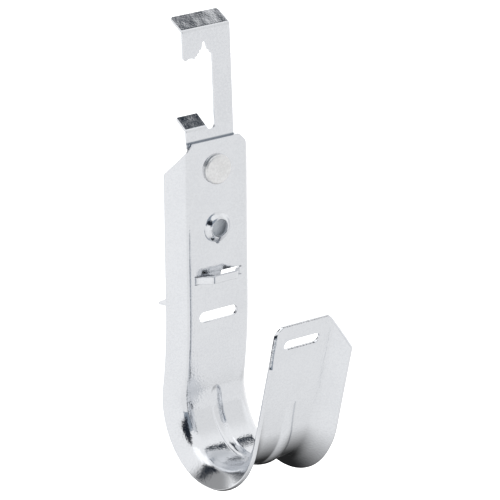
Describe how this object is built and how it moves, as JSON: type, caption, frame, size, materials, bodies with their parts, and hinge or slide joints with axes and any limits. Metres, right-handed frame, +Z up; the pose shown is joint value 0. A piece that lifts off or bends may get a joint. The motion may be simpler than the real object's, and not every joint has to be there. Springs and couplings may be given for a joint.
{
  "type": "cable j-hook with batwing clip",
  "caption": "Formed steel J-hook that carries a bundle of cables, riveted to a folded batwing clip that grips a hanging wire.",
  "frame": {"origin": "seat of the hanging wire, at the top of the stepped notch in the clip's wing", "axes": "+X across the strip to the right as seen from the cable side, +Y to the back, away from the cables, +Z up along the hanging wire"},
  "size_m": [0.027, 0.0574, 0.1258],
  "materials": {
    "hook_steel": "satin zinc plating with a fine speckle",
    "clip_steel": "satin zinc plating with a fine speckle",
    "rivet_steel": "dull zinc plating with tiny pits"
  },
  "bodies": {
    "root": {"j_hook": "hook_steel", "batwing_clip": "clip_steel", "rivet": "rivet_steel"}
  },
  "joints": []
}
